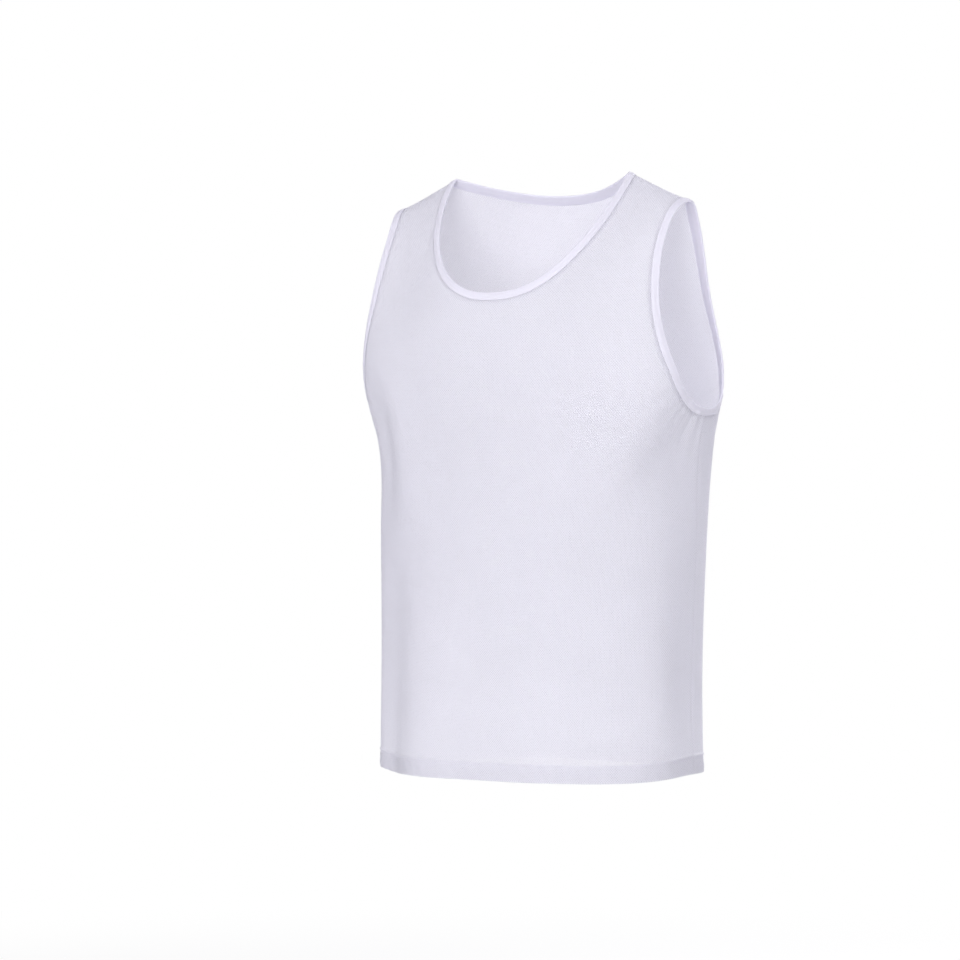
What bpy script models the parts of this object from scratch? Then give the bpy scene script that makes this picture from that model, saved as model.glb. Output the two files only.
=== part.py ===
# A sleeveless training bib in open mesh knit, in the hollow shape that it has when it is worn.
# Metres, +Z up. The front faces -Y and the wearer's left is +X. The origin is midway between
# the high points of the two shoulders, where the wearer holds the bib up.
#
# Every piece is worked out from one form. A place on the form is (girth, height, side): girth is
# measured along the cloth from the centre line, positive to the wearer's left, height is measured
# along the cloth too, and side is FRONT or BACK.

import math

import bmesh
import bpy
import numpy as np
from mathutils.geometry import delaunay_2d_cdt

FRONT = -1
BACK = 1

# ---- Driving dimensions ----

LENGTH = 0.680                 # high shoulder point to the hem
HEM_TILT = 0.017               # the hem hangs about 3 mm lower on the wearer's right
NECK_HALF_WIDTH = 0.1145
NECK_DROP_FRONT = 0.134
NECK_DROP_BACK = 0.021
NECK_SQUARENESS = (2.35, 1.75)  # across and down the front neckline, 2 is an ellipse
SHOULDER_TIP_X = 0.190
SHOULDER_DROP = 0.037          # high shoulder point to the shoulder's tip
SHOULDER_FALL = 0.235          # how far below the shoulder line the chest stands upright
RIDGE_AT_NECK = 0.92           # 1 folds over the shoulder like a roof, 0.5 is a round arch
RIDGE_AT_TIP = 0.49
NAPE_ROUNDING = 0.070          # the shoulder line is rounded this far each side of the centre
PROFILE_DEPTH = 0.85           # share of the chest's depth over the middle of a shoulder
PROFILE_REACH = 1.3            # the profile runs this many lengths down

PANEL_WALL = 0.0012
BINDING_WALL = 0.0010
SEAM_GAP = 0.0003
BINDING_OUTSIDE = 0.009        # width of the binding's outer leg
BINDING_INSIDE = 0.012         # width of its inner leg
HEM_DEPTH = 0.020

NECK_STEPS_FRONT = 18          # stations in half of the front neckline
NECK_STEPS_BACK = 12
ARMHOLE_STEPS = 18             # stations in the front or the back half of an armhole
HEM_STEPS = 11                 # stations in a quarter of the hem
SHOULDER_STEPS = 5
SIDE_STEPS = 15
CLOTH_SPACING = 0.030          # between points in the open part of a panel
ROW_SPACING = CLOTH_SPACING * math.sqrt(3) / 2
ROOM_AT_EDGES = CLOTH_SPACING * 0.6

# Horizontal sections of the form, from the hem up. A roundness of 2 is an ellipse.
SECTIONS = np.array(
    [
        (-0.680, 0.1995, 0.121, 0.112, 2.20),
        (-0.560, 0.1985, 0.120, 0.108, 2.20),
        (-0.440, 0.2010, 0.118, 0.106, 2.20),
        (-0.340, 0.2070, 0.117, 0.107, 2.20),
        (-0.300, 0.2125, 0.118, 0.108, 2.22),
        (-0.266, 0.2200, 0.119, 0.109, 2.25),
        (-0.220, 0.2270, 0.119, 0.110, 2.30),
        (-0.134, 0.2295, 0.117, 0.110, 2.20),
        (0.060, 0.2295, 0.113, 0.108, 2.20),
    ],
    dtype=[("z", "f8"), ("half_width", "f8"), ("front", "f8"), ("back", "f8"), ("roundness", "f8")],
)

# The armhole's edge seen from the front, from the underarm up to the shoulder's tip.
ARMHOLE = np.array(
    [
        (-0.266, 0.2200),
        (-0.255, 0.2165),
        (-0.240, 0.2115),
        (-0.220, 0.2062),
        (-0.200, 0.2000),
        (-0.180, 0.1945),
        (-0.160, 0.1900),
        (-0.130, 0.1858),
        (-0.100, 0.1838),
        (-0.070, 0.1842),
        (-0.050, 0.1862),
        (-0.037, 0.1900),
    ],
    dtype=[("z", "f8"), ("x", "f8")],
)

# Steps of the curves that are measured along their length, and what counts as the same place.
ANGLE_STEPS = 600
DROP_STEPS = 1500
NECK_CURVE_STEPS = 200
ARMHOLE_CURVE_STEPS = 300
NUDGE = 2.0e-4
SAME_PLACE = 1.0e-9

SHARP_EDGE = math.radians(50)

# Colours (linear), roughness
MESH_KNIT = ((0.79, 0.775, 0.855), 0.75)
BINDING_KNIT = ((0.87, 0.83, 0.97), 0.60)


# ---- The form ----


def smooth(at, places, values):
    """A curve with no corners through a short table."""
    slopes = np.gradient(values, places)
    at = np.clip(at, places[0], places[-1])
    cell = np.clip(np.searchsorted(places, at) - 1, 0, len(places) - 2)
    span = places[cell + 1] - places[cell]
    t = (at - places[cell]) / span
    start = (2 * t**3 - 3 * t**2 + 1) * values[cell]
    end = (3 * t**2 - 2 * t**3) * values[cell + 1]
    leave = (t**3 - 2 * t**2 + t) * span * slopes[cell]
    arrive = (t**3 - t**2) * span * slopes[cell + 1]
    return start + end + leave + arrive


def section(column, z):
    return smooth(z, SECTIONS["z"], SECTIONS[column])


def ridge_height(x):
    """Height of the shoulder line, which is also the line that the front and back share."""
    rounded = (x**2 + NAPE_ROUNDING**2) / (2.0 * NAPE_ROUNDING)
    across = np.where(np.abs(x) < NAPE_ROUNDING, rounded, np.abs(x))
    return -SHOULDER_DROP * (across - NECK_HALF_WIDTH) / (SHOULDER_TIP_X - NECK_HALF_WIDTH)


def bulge(x, drop):
    """Share of the full depth at a drop below the shoulder line."""
    t = np.clip(drop / SHOULDER_FALL, 0.0, 1.0)
    edges = (RIDGE_AT_NECK, RIDGE_AT_TIP)
    power = np.interp(np.abs(x), (NECK_HALF_WIDTH, SHOULDER_TIP_X), edges)
    return (1.0 - (1.0 - t) ** 2) ** power


def running_length(x, y):
    return np.concatenate(([0.0], np.cumsum(np.hypot(np.diff(x), np.diff(y)))))


# The chest section turns a girth into an angle round the form, and the profile over the middle of
# the shoulder turns a length down the cloth into a drop.
CHEST_Z = -0.134
CHEST_WIDTH = float(section("half_width", CHEST_Z))
CHEST_DEPTH = float(section("front", CHEST_Z))
CHEST_POWER = 2.0 / float(section("roundness", CHEST_Z))
ANGLES = np.linspace(0.0, math.pi / 2, ANGLE_STEPS)
GIRTHS = running_length(
    CHEST_WIDTH * np.sin(ANGLES) ** CHEST_POWER,
    CHEST_DEPTH * np.maximum(np.cos(ANGLES), 0.0) ** CHEST_POWER,
)
DROPS = LENGTH * PROFILE_REACH * np.linspace(0.0, 1.0, DROP_STEPS) ** 2
SHOULDER_MIDDLE = (NECK_HALF_WIDTH + SHOULDER_TIP_X) / 2
FALLS = running_length(DROPS, PROFILE_DEPTH * CHEST_DEPTH * bulge(SHOULDER_MIDDLE, DROPS))
SIDE_GIRTH = float(GIRTHS[-1])


def ridge_over(angle):
    return ridge_height(CHEST_WIDTH * np.sin(angle) ** CHEST_POWER)


def place(girth, height, side):
    """Points of the cloth's outer face."""
    angle = np.interp(np.abs(girth), GIRTHS, ANGLES)
    ridge = ridge_over(angle)
    drop = np.interp(ridge - height, FALLS, DROPS)
    z = ridge - drop
    power = 2.0 / section("roundness", z)
    x = section("half_width", z) * np.sin(angle) ** power
    depth = section("front" if side == FRONT else "back", z)
    y = side * depth * np.maximum(np.cos(angle), 0.0) ** power * bulge(x, drop)
    return np.stack((np.sign(girth) * x, y, z), -1)


def pattern_spot(x, z):
    """Girth and height of the place that has this x and z."""
    share = np.clip(np.abs(x) / section("half_width", z), 0.0, 1.0)
    angle = np.arcsin(share ** (section("roundness", z) / 2.0))
    ridge = ridge_over(angle)
    girth = np.sign(x) * np.interp(angle, ANGLES, GIRTHS)
    return girth, ridge - np.interp(ridge - z, DROPS, FALLS)


def top_height(girth):
    """Height of the shoulder line at a girth."""
    return ridge_over(np.interp(np.abs(girth), GIRTHS, ANGLES))


def directions(girth, height, side):
    """How a point moves with girth and with height, and the outward normal there."""
    left = np.clip(girth - NUDGE, -SIDE_GIRTH, SIDE_GIRTH)
    right = np.clip(girth + NUDGE, -SIDE_GIRTH, SIDE_GIRTH)
    low = height - NUDGE
    high = np.minimum(height + NUDGE, top_height(girth))
    level = np.minimum(height, np.minimum(top_height(left), top_height(right)))
    along = (place(right, level, side) - place(left, level, side)) / (right - left)[:, None]
    up = (place(girth, high, side) - place(girth, low, side)) / (high - low)[:, None]
    normal = -side * np.cross(along, up)
    return along, up, normal


def unit(vectors):
    return vectors / np.linalg.norm(vectors, axis=-1, keepdims=True)


def normals(girth, height, side):
    """Outward normals, square to the seam plane where the front meets the back."""
    normal = directions(girth, height, side)[2]
    on_side = np.abs(girth) > SIDE_GIRTH - NUDGE
    on_ridge = height > top_height(girth) - NUDGE
    normal[on_side | on_ridge, 1] = 0.0
    return unit(normal)


# ---- Edges of the pattern pieces ----


class Edge:
    """A line of stations along a cut edge. Each can be moved into the cloth by a width."""

    def __init__(self, girth, height, side, into_girth, into_height):
        self.girth = girth
        self.height = height
        self.side = side
        self.into_girth = into_girth
        self.into_height = into_height

    def moved(self, width):
        girth = self.girth + width * self.into_girth
        girth = np.clip(girth, -SIDE_GIRTH, SIDE_GIRTH)
        on_ridge = self.height > top_height(self.girth) - SAME_PLACE
        height = np.minimum(self.height + width * self.into_height, top_height(girth))
        return girth, np.where(on_ridge, top_height(girth), height)

    def points(self, width):
        """Outer face and normal at a width in from the edge, on the panel's own straight rows."""
        girth, height = self.moved(width)
        outer = np.zeros((len(girth), 3))
        normal = np.zeros((len(girth), 3))
        for side in (FRONT, BACK):
            on = self.side == side
            outer[on] = place(girth[on], height[on], side)
            outer[on, 1] += side * SEAM_GAP / 2
            normal[on] = normals(girth[on], height[on], side)
        shared = (np.abs(girth) > SIDE_GIRTH - SAME_PLACE) | (height > top_height(girth) - SAME_PLACE)
        outer[shared, 1] = 0.0
        return outer, normal


def evenly(girth, height, side, steps):
    """The same line with stations at equal lengths."""
    line = place(girth, height, side)
    length = np.concatenate(([0.0], np.cumsum(np.linalg.norm(np.diff(line, axis=0), axis=1))))
    stops = np.linspace(0.0, length[-1], steps + 1)
    return np.interp(stops, length, girth), np.interp(stops, length, height)


def closed_edge(runs):
    """One closed edge from (girth, height, side) runs that each start where the last one ended."""
    girth = np.concatenate([run[0][:-1] for run in runs])
    height = np.concatenate([run[1][:-1] for run in runs])
    side = np.concatenate([np.full(len(run[0]) - 1, run[2]) for run in runs])
    line = np.zeros((len(girth), 3))
    along = np.zeros_like(line)
    up = np.zeros_like(line)
    for one in (FRONT, BACK):
        on = side == one
        line[on] = place(girth[on], height[on], one)
        along[on], up[on], _ = directions(girth[on], height[on], one)
    tangent = unit(np.roll(line, -1, axis=0) - np.roll(line, 1, axis=0))
    normal = unit(np.cross(along, up))
    into = unit(np.cross(normal, tangent))
    outward = line - line.mean(axis=0)
    into *= np.sign(np.sum(into * outward, axis=1))[:, None]
    into_girth = np.zeros(len(girth))
    into_height = np.zeros(len(girth))
    for k in range(len(girth)):
        axes = np.stack((along[k], up[k]), -1)
        into_girth[k], into_height[k] = np.linalg.lstsq(axes, into[k], rcond=None)[0]
    on_side = np.abs(girth) > SIDE_GIRTH - SAME_PLACE
    into_girth[on_side] = 0.0
    into_height[on_side] = -1.0
    on_ridge = height > top_height(girth) - SAME_PLACE
    into_girth[on_ridge] = np.sign(into_girth[on_ridge])
    return Edge(girth, height, side, into_girth, into_height)


def neck_edge():
    turn = np.linspace(0.0, math.pi / 2, NECK_CURVE_STEPS)
    across, down = NECK_SQUARENESS
    front_x = NECK_HALF_WIDTH * np.sin(turn) ** (2 / across)
    front_z = -NECK_DROP_FRONT * np.maximum(np.cos(turn), 0.0) ** (2 / down)
    back_x = NECK_HALF_WIDTH * np.sin(turn)
    back_z = -NECK_DROP_BACK * np.cos(turn) ** 2
    quarters = []
    for x, z, side, steps in (
        (front_x, front_z, FRONT, NECK_STEPS_FRONT),
        (back_x, back_z, BACK, NECK_STEPS_BACK),
    ):
        girth, height = pattern_spot(x, z)
        girth[0] = 0.0
        height[-1] = top_height(girth[-1:])[0]
        quarters.append(evenly(girth, height, side, steps))
    (front_girth, front_height), (back_girth, back_height) = quarters
    runs = [
        (front_girth, front_height, FRONT),
        (back_girth[::-1], back_height[::-1], BACK),
        (-back_girth, back_height, BACK),
        (-front_girth[::-1], front_height[::-1], FRONT),
    ]
    return closed_edge(runs)


def armhole_edge(hand):
    """hand is 1 for the wearer's left and -1 for the right."""
    rise = np.linspace(0.0, 1.0, ARMHOLE_CURVE_STEPS) ** 2
    z = ARMHOLE["z"][0] + rise * (ARMHOLE["z"][-1] - ARMHOLE["z"][0])
    girth, height = pattern_spot(smooth(z, ARMHOLE["z"], ARMHOLE["x"]), z)
    girth[0] = SIDE_GIRTH
    height[-1] = top_height(girth[-1:])[0]
    front_girth, front_height = evenly(girth, height, FRONT, ARMHOLE_STEPS)
    back_girth, back_height = evenly(girth, height, BACK, ARMHOLE_STEPS)
    runs = [
        (hand * front_girth, front_height, FRONT),
        (hand * back_girth[::-1], back_height[::-1], BACK),
    ]
    return closed_edge(runs)


def hem_level(girth):
    """Height of the hem's fold on the pattern."""
    angle = np.interp(np.abs(girth), GIRTHS, ANGLES)
    x = np.sign(girth) * section("half_width", -LENGTH) * np.sin(angle) ** CHEST_POWER
    z = -LENGTH + HEM_TILT * x
    ridge = ridge_over(angle)
    return ridge - np.interp(ridge - z, DROPS, FALLS)


def hem_edge():
    quarter = np.linspace(0.0, SIDE_GIRTH, HEM_STEPS + 1)
    girth = np.concatenate(
        (quarter[:-1], quarter[:0:-1], -quarter[:-1], -quarter[:0:-1])
    )
    side = np.repeat((FRONT, BACK, BACK, FRONT), HEM_STEPS)
    still = np.zeros(len(girth))
    return Edge(girth, hem_level(girth), side, still, still + 1.0)


# ---- Meshes ----


def add_object(name, points, faces, look):
    mesh = bpy.data.meshes.new(name)
    mesh.from_pydata([tuple(p) for p in points], [], faces)
    shape = bmesh.new()
    shape.from_mesh(mesh)
    bmesh.ops.recalc_face_normals(shape, faces=shape.faces)
    shape.to_mesh(mesh)
    shape.free()
    mesh.shade_smooth()
    mesh.set_sharp_from_angle(angle=SHARP_EDGE)
    piece = bpy.data.objects.new(name, mesh)
    bpy.context.scene.collection.objects.link(piece)
    colour, roughness = look
    material = bpy.data.materials.new(name)
    material.use_nodes = True
    shader = material.node_tree.nodes["Principled BSDF"]
    shader.inputs["Base Color"].default_value = (*colour, 1.0)
    shader.inputs["Roughness"].default_value = roughness
    shader.inputs["Metallic"].default_value = 0.0
    mesh.materials.append(material)
    return piece


def strip_faces(near, far):
    """Two triangles for each step between two rows. The row nearer to the cut edge comes first."""
    faces = []
    for k in range(len(near) - 1):
        faces.append((near[k], near[k + 1], far[k + 1]))
        faces.append((near[k], far[k + 1], far[k]))
    return faces


def ring(name, edge, outline, look):
    """A strip folded round a closed edge. Its outline is (width in from the edge, row, stand-off):
    each corner is taken from the panel's own row at that width, so it lies along the panel."""
    rows = {corner[1]: edge.points(corner[1]) for corner in outline}
    corners = []
    for width, row, stand_off in outline:
        outer, normal = rows[row]
        into = unit(rows[max(rows)][0] - rows[min(rows)][0])
        corners.append(outer + (width - row) * into + stand_off * normal)
    count = len(edge.girth)
    points = np.concatenate(corners)
    faces = []
    for c in range(len(outline)):
        d = (c + 1) % len(outline)
        here = [c * count + k % count for k in range(count + 1)]
        there = [d * count + k % count for k in range(count + 1)]
        if outline[c][0] <= outline[d][0]:
            faces += strip_faces(here, there)
        else:
            faces += [face[::-1] for face in strip_faces(there, here)]
    return add_object(name, points, faces, look)


INNER_FACE = -PANEL_WALL
RAW_EDGE = BINDING_WALL + SEAM_GAP    # the panel's own edge lies inside the fold


def binding(name, edge):
    top = SEAM_GAP + BINDING_WALL
    under = INNER_FACE - SEAM_GAP
    bottom = under - BINDING_WALL
    round_off = BINDING_WALL * 0.8
    outline = (
        (BINDING_OUTSIDE, BINDING_OUTSIDE, top),
        (round_off, RAW_EDGE, top),
        (0.0, RAW_EDGE, SEAM_GAP),
        (0.0, RAW_EDGE, under),
        (round_off, RAW_EDGE, bottom),
        (BINDING_OUTSIDE, BINDING_OUTSIDE, bottom),
        (BINDING_INSIDE, BINDING_INSIDE, bottom),
        (BINDING_INSIDE, BINDING_INSIDE, under),
        (BINDING_OUTSIDE, BINDING_OUTSIDE, under),
        (BINDING_WALL, RAW_EDGE, under),
        (BINDING_WALL, RAW_EDGE, SEAM_GAP),
        (BINDING_OUTSIDE, BINDING_OUTSIDE, SEAM_GAP),
    )
    return ring(name, edge, outline, BINDING_KNIT)


def turned_hem(edge):
    under = INNER_FACE - SEAM_GAP
    bottom = under - PANEL_WALL
    round_off = PANEL_WALL * 0.4
    outline = (
        (BINDING_WALL, RAW_EDGE, 0.0),
        (round_off, RAW_EDGE, 0.0),
        (0.0, RAW_EDGE, -round_off),
        (0.0, RAW_EDGE, bottom + round_off),
        (round_off, RAW_EDGE, bottom),
        (HEM_DEPTH, HEM_DEPTH, bottom),
        (HEM_DEPTH, HEM_DEPTH, under),
        (BINDING_WALL, RAW_EDGE, under),
    )
    return ring("hem", edge, outline, MESH_KNIT)


def run_of(edge, side):
    """Station numbers of the run on one side, in the ring's own order, with both shared ends."""
    count = len(edge.girth)
    on_side = np.abs(edge.girth) > SIDE_GIRTH - SAME_PLACE
    on_ridge = edge.height > top_height(edge.girth) - SAME_PLACE
    on = (edge.side == side) & ~on_side & ~on_ridge
    start = [k for k in range(count) if on[k] and not on[k - 1]][0]
    run = [(start - 1) % count]
    while on[(run[-1] + 1) % count]:
        run.append((run[-1] + 1) % count)
    run.append((run[-1] + 1) % count)
    return run


def inside(points, loop):
    """Which points lie inside a closed loop."""
    hit = np.zeros(len(points), bool)
    for a, b in zip(loop, np.roll(loop, -1, axis=0)):
        crosses = (a[1] > points[:, 1]) != (b[1] > points[:, 1])
        reach = (b[0] - a[0]) * (points[:, 1] - a[1]) / (b[1] - a[1] + 1e-15) + a[0]
        hit ^= crosses & (points[:, 0] < reach)
    return hit


def clearance(points, loop):
    """Distance from each point to a closed loop."""
    best = np.full(len(points), np.inf)
    for a, b in zip(loop, np.roll(loop, -1, axis=0)):
        along = np.clip(((points - a) @ (b - a)) / ((b - a) @ (b - a)), 0.0, 1.0)
        best = np.minimum(best, np.linalg.norm(points - a - along[:, None] * (b - a), axis=1))
    return best


def panel(name, side, neck, armholes, hem_line):
    """One cut piece: bound rows along its cut edges, an even lattice between them, and a wall."""
    spots = []
    number = {}

    def spot(girth, height):
        key = (round(float(girth), 7), round(float(height), 7))
        if key not in number:
            number[key] = len(spots)
            spots.append(key)
        return number[key]

    faces = []
    innermost = []
    binding_rows = (RAW_EDGE, BINDING_OUTSIDE, BINDING_INSIDE)
    hem_rows = (RAW_EDGE, HEM_DEPTH)
    for edge, widths in (
        (hem_line, hem_rows),
        (armholes[0], binding_rows),
        (neck, binding_rows),
        (armholes[1], binding_rows),
    ):
        run = run_of(edge, side)
        rows = []
        for width in widths:
            girth, height = edge.moved(width)
            rows.append([spot(girth[k], height[k]) for k in run])
        for near, far in zip(rows[:-1], rows[1:]):
            faces += strip_faces(near, far)
        innermost.append(rows[-1])

    hem_row, left_row, neck_row, right_row = innermost
    hem_row = by_girth(hem_row, spots)
    left_row = by_height(left_row, spots)
    neck_row = by_girth(neck_row, spots)[::-1]
    right_row = by_height(right_row, spots)[::-1]
    loop = hem_row
    loop = loop + side_run(spots, spot, hem_row[-1], left_row[0])
    loop = loop + left_row
    loop = loop + ridge_run(spots, spot, left_row[-1], neck_row[0])
    loop = loop + neck_row
    loop = loop + ridge_run(spots, spot, neck_row[-1], right_row[0])
    loop = loop + right_row
    loop = loop + side_run(spots, spot, right_row[-1], hem_row[0])

    outline = np.array([spots[k] for k in loop])
    low = outline.min(axis=0)
    high = outline.max(axis=0)
    lattice = []
    for row in range(int((high[1] - low[1]) / ROW_SPACING) + 1):
        height = low[1] + row * ROW_SPACING
        reach = int(high[0] / CLOTH_SPACING) + 1
        shift = (row % 2) / 2
        for column in range(-reach, reach + 1):
            lattice.append(((column + shift) * CLOTH_SPACING, height))
    lattice = np.array(lattice)
    lattice = lattice[inside(lattice, outline)]
    lattice = lattice[clearance(lattice, outline) > ROOM_AT_EDGES]

    corners = loop + [spot(*p) for p in lattice]
    flat = [spots[k] for k in corners]
    border = [(k, (k + 1) % len(loop)) for k in range(len(loop))]
    filled = delaunay_2d_cdt(flat, border, [], 1, SAME_PLACE)
    origin = [corners[sources[0]] for sources in filled[3]]
    faces += [tuple(origin[k] for k in face) for face in filled[2]]
    return thicken(name, np.array(spots), faces, side)


def by_girth(row, spots):
    return sorted(row, key=lambda k: spots[k][0])


def by_height(row, spots):
    return sorted(row, key=lambda k: spots[k][1])


def side_run(spots, spot, start, end):
    """Points along a side seam, between two corners."""
    a = np.array(spots[start])
    b = np.array(spots[end])
    return [spot(*(a + (b - a) * k / SIDE_STEPS)) for k in range(1, SIDE_STEPS)]


def ridge_run(spots, spot, start, end):
    """Points along a shoulder seam, between two corners."""
    girths = np.linspace(spots[start][0], spots[end][0], SHOULDER_STEPS + 1)[1:-1]
    return [spot(g, top_height(np.array([g]))[0]) for g in girths]


def thicken(name, spots, faces, side):
    """The outer face, the inner face a wall further in, and the cut edge all round."""
    turned = []
    for a, b, c in faces:
        ab = spots[b] - spots[a]
        ac = spots[c] - spots[a]
        counter = ab[0] * ac[1] - ab[1] * ac[0] > 0
        turned.append((a, b, c) if counter else (a, c, b))
    outer = place(spots[:, 0], spots[:, 1], side)
    outer[:, 1] += side * SEAM_GAP / 2
    inner = outer - PANEL_WALL * normals(spots[:, 0], spots[:, 1], side)
    count = len(spots)
    sides = {}
    for a, b, c in turned:
        for start, end in ((a, b), (b, c), (c, a)):
            sides[(start, end)] = True
    walls = []
    for start, end in sides:
        if (end, start) not in sides:
            walls.append((end, start, start + count))
            walls.append((end, start + count, end + count))
    inner_faces = [(a + count, c + count, b + count) for a, b, c in turned]
    return add_object(name, np.concatenate((outer, inner)), turned + inner_faces + walls, MESH_KNIT)


# ---- The bib ----

for old in list(bpy.data.objects):
    bpy.data.objects.remove(old)

neck = neck_edge()
armhole_left = armhole_edge(1)
armhole_right = armhole_edge(-1)
hem_line = hem_edge()

shoulders = bpy.data.objects.new("shoulders", None)
bpy.context.scene.collection.objects.link(shoulders)

pieces = [
    panel("front_panel", FRONT, neck, (armhole_left, armhole_right), hem_line),
    panel("back_panel", BACK, neck, (armhole_left, armhole_right), hem_line),
    binding("neck_binding", neck),
    binding("armhole_binding_left", armhole_left),
    binding("armhole_binding_right", armhole_right),
    turned_hem(hem_line),
]
for piece in pieces:
    piece.parent = shoulders
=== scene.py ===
# The looks of a sleeveless training bib in open mesh knit, hollow as it is when it is worn.
# Metres, +Z up. The front faces -Y and the wearer's left is +X. The origin is midway between the
# high points of the two shoulders.

import math

import bpy
import numpy as np
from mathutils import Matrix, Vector
from mathutils.geometry import delaunay_2d_cdt


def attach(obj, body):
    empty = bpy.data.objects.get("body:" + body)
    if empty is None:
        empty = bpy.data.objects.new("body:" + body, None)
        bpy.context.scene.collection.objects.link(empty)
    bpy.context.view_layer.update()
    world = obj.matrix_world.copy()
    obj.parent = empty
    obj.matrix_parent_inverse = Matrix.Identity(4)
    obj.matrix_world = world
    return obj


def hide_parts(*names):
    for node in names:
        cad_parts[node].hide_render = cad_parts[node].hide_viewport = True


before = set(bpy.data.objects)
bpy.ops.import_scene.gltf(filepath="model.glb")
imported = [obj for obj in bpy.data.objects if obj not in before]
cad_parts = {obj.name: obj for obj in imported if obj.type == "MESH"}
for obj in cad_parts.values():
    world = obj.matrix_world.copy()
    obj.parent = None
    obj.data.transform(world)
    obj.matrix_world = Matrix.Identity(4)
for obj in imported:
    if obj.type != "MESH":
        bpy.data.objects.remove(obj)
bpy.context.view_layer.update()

# ---------------------------------------------------------------------------------------------
# Front and back panels
# Two pieces of polyester mesh knit, cut alike but for a deeper neckline in front. They are sewn
# together along the shoulders and the sides with the edges inside, and hang from the shoulders.
# ---------------------------------------------------------------------------------------------

FRONT = -1
BACK = 1

LENGTH = 0.680                 # high shoulder point to the hem
HEM_TILT = 0.017               # the hem hangs about 3 mm lower on the wearer's right
NECK_HALF_WIDTH = 0.1145
NECK_DROP_FRONT = 0.1365
NECK_DROP_BACK = 0.021
NECK_SQUARENESS = (2.35, 1.75)  # across and down the front neckline, 2 is an ellipse
SHOULDER_TIP_X = 0.190
SHOULDER_DROP = 0.037          # high shoulder point to the shoulder's tip
SHOULDER_FALL = 0.235          # how far below the shoulder line the chest stands upright
RIDGE_AT_NECK = 0.92           # 1 folds over the shoulder like a roof, 0.5 is a round arch
RIDGE_AT_TIP = 0.49
NAPE_ROUNDING = 0.070          # the shoulder line is rounded this far each side of the centre
PROFILE_DEPTH = 0.85           # share of the chest's depth over the middle of a shoulder
PROFILE_REACH = 1.3            # the profile runs this many lengths down

MESH_THICKNESS = 0.0006
RAW_EDGE = 0.0013              # the panel's own edge lies this far inside its binding or hem
HEM_DEPTH = 0.020
SEAM_HAIRLINE = 0.00003        # half the space between two panels at a seam
CLOTH_SPACING = 0.0046         # between points in the open part of a panel
STATION = 0.0036               # between stations along an edge
ROWS_AT_SEAM = (0.0011, 0.0024, 0.0042, 0.0070)  # more rows of points, this far from the line
ROWS_AT_HEM = (
    0.0050, 0.0090, 0.0130, 0.0160, 0.0172, 0.0182, 0.0190, 0.0196,
    0.0202, 0.0208, 0.0214, 0.0220, 0.0228, 0.0240, 0.0266,
)
ROOM_BETWEEN_POINTS = 0.0005   # nearer points of two rows that cross are left out
ROOM_AT_ROWS = 0.0030

# Horizontal sections of the form, from the hem up. A roundness of 2 is an ellipse.
SECTIONS = np.array(
    [
        (-0.680, 0.1995, 0.121, 0.112, 2.20),
        (-0.560, 0.1985, 0.120, 0.108, 2.20),
        (-0.440, 0.2010, 0.118, 0.106, 2.20),
        (-0.340, 0.2070, 0.117, 0.107, 2.20),
        (-0.300, 0.2125, 0.118, 0.108, 2.22),
        (-0.266, 0.2200, 0.119, 0.109, 2.25),
        (-0.220, 0.2270, 0.119, 0.110, 2.30),
        (-0.134, 0.2295, 0.117, 0.110, 2.20),
        (0.060, 0.2295, 0.113, 0.108, 2.20),
    ],
    dtype=[
        ("z", "f8"),
        ("half_width", "f8"),
        ("front", "f8"),
        ("back", "f8"),
        ("roundness", "f8"),
    ],
)

# The armhole's edge seen from the front, from the underarm up to the shoulder's tip.
ARMHOLE = np.array(
    [
        (-0.266, 0.2200),
        (-0.255, 0.2165),
        (-0.240, 0.2115),
        (-0.220, 0.2062),
        (-0.200, 0.2000),
        (-0.180, 0.1945),
        (-0.160, 0.1900),
        (-0.130, 0.1858),
        (-0.100, 0.1838),
        (-0.070, 0.1842),
        (-0.050, 0.1862),
        (-0.037, 0.1900),
    ],
    dtype=[("z", "f8"), ("x", "f8")],
)

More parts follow.
